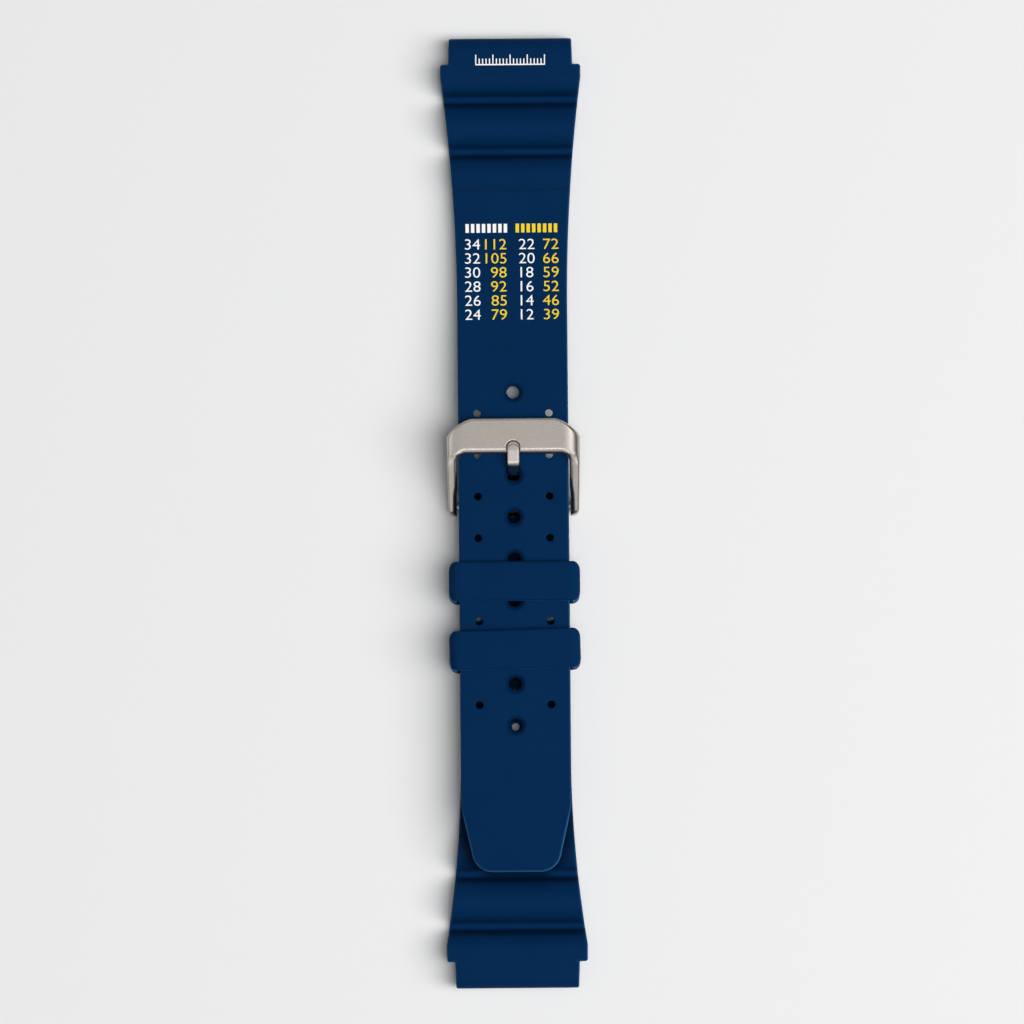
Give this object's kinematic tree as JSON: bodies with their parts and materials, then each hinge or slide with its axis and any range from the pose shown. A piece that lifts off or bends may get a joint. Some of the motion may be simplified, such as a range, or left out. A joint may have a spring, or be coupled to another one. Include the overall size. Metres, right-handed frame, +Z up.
{
  "type": "rubber dive strap",
  "caption": "Rubber dive strap laid flat with waved lug ends, its holed tail done up through a steel pin buckle and sliding rubber keepers.",
  "frame": {"origin": "under the middle of the whole length, on the surface that the strap lies on", "axes": "+Y along the strap from the buckle half's lug end to the tail half's lug end, +X across it, +Z up"},
  "size_m": [0.0252, 0.1714, 0.0084],
  "materials": {
    "strap_rubber": "matte moulded",
    "buckle_steel": "satin brushed",
    "bar_steel": "turned",
    "spring_steel": "drawn wire"
  },
  "bodies": {
    "strap_core": {"long_strap_band": "strap_rubber", "short_strap_band": "strap_rubber", "spring_bar_tube": "bar_steel", "spring_bar_spring": "spring_steel"},
    "long_wave": {"long_strap_wave": "strap_rubber"},
    "long_lug_end": {"long_strap_lug_end": "strap_rubber"},
    "short_wave": {"short_strap_wave": "strap_rubber"},
    "short_lug_end": {"short_strap_lug_end": "strap_rubber"},
    "buckle_frame": {"buckle_frame": "buckle_steel"},
    "buckle_tang": {"buckle_tang": "buckle_steel"},
    "keeper_upper": {"keeper_upper": "strap_rubber"},
    "keeper_lower": {"keeper_lower": "strap_rubber"},
    "spring_bar_tip_left": {"spring_bar_tip_left": "bar_steel"},
    "spring_bar_tip_right": {"spring_bar_tip_right": "bar_steel"}
  },
  "joints": [
    {"name": "long_wave_flex", "type": "hinge", "parent": "strap_core", "child": "long_wave", "pos_m": [0, 0.06523, 0.001], "axis": [1, 0, 0], "range_deg": [0, 35], "stiffness_Nm_per_rad": 0.04},
    {"name": "long_lug_flex", "type": "hinge", "parent": "long_wave", "child": "long_lug_end", "pos_m": [0, 0.07462, 0.001], "axis": [1, 0, 0], "range_deg": [0, 35], "stiffness_Nm_per_rad": 0.04},
    {"name": "short_wave_flex", "type": "hinge", "parent": "strap_core", "child": "short_wave", "pos_m": [0, -0.06523, 0.001], "axis": [-1, 0, 0], "range_deg": [0, 35], "stiffness_Nm_per_rad": 0.04},
    {"name": "short_lug_flex", "type": "hinge", "parent": "short_wave", "child": "short_lug_end", "pos_m": [0, -0.07462, 0.001], "axis": [-1, 0, 0], "range_deg": [0, 35], "stiffness_Nm_per_rad": 0.04},
    {"name": "buckle_frame_swing", "type": "hinge", "parent": "strap_core", "child": "buckle_frame", "pos_m": [0, 0.00108, 0.0022], "axis": [1, 0, 0], "range_deg": [0, 4]},
    {"name": "buckle_tang_lift", "type": "hinge", "parent": "buckle_frame", "child": "buckle_tang", "pos_m": [0, 0.00108, 0.0022], "axis": [1, 0, 0], "range_deg": [0, 2.5]},
    {"name": "keeper_upper_slide", "type": "slide", "parent": "strap_core", "child": "keeper_upper", "axis": [0, 1, 0], "range_m": [-0.002, 0.005]},
    {"name": "keeper_lower_slide", "type": "slide", "parent": "strap_core", "child": "keeper_lower", "axis": [0, 1, 0], "range_m": [-0.019, 0.002]},
    {"name": "spring_bar_tip_left_press", "type": "slide", "parent": "strap_core", "child": "spring_bar_tip_left", "axis": [1, 0, 0], "range_m": [0, 0.0012], "stiffness_N_per_m": 400, "springref_m": -0.001, "deforming": ["spring_bar_spring"]},
    {"name": "spring_bar_tip_right_press", "type": "slide", "parent": "strap_core", "child": "spring_bar_tip_right", "axis": [-1, 0, 0], "range_m": [0, 0.0012], "stiffness_N_per_m": 400, "springref_m": -0.001, "deforming": ["spring_bar_spring"]}
  ]
}
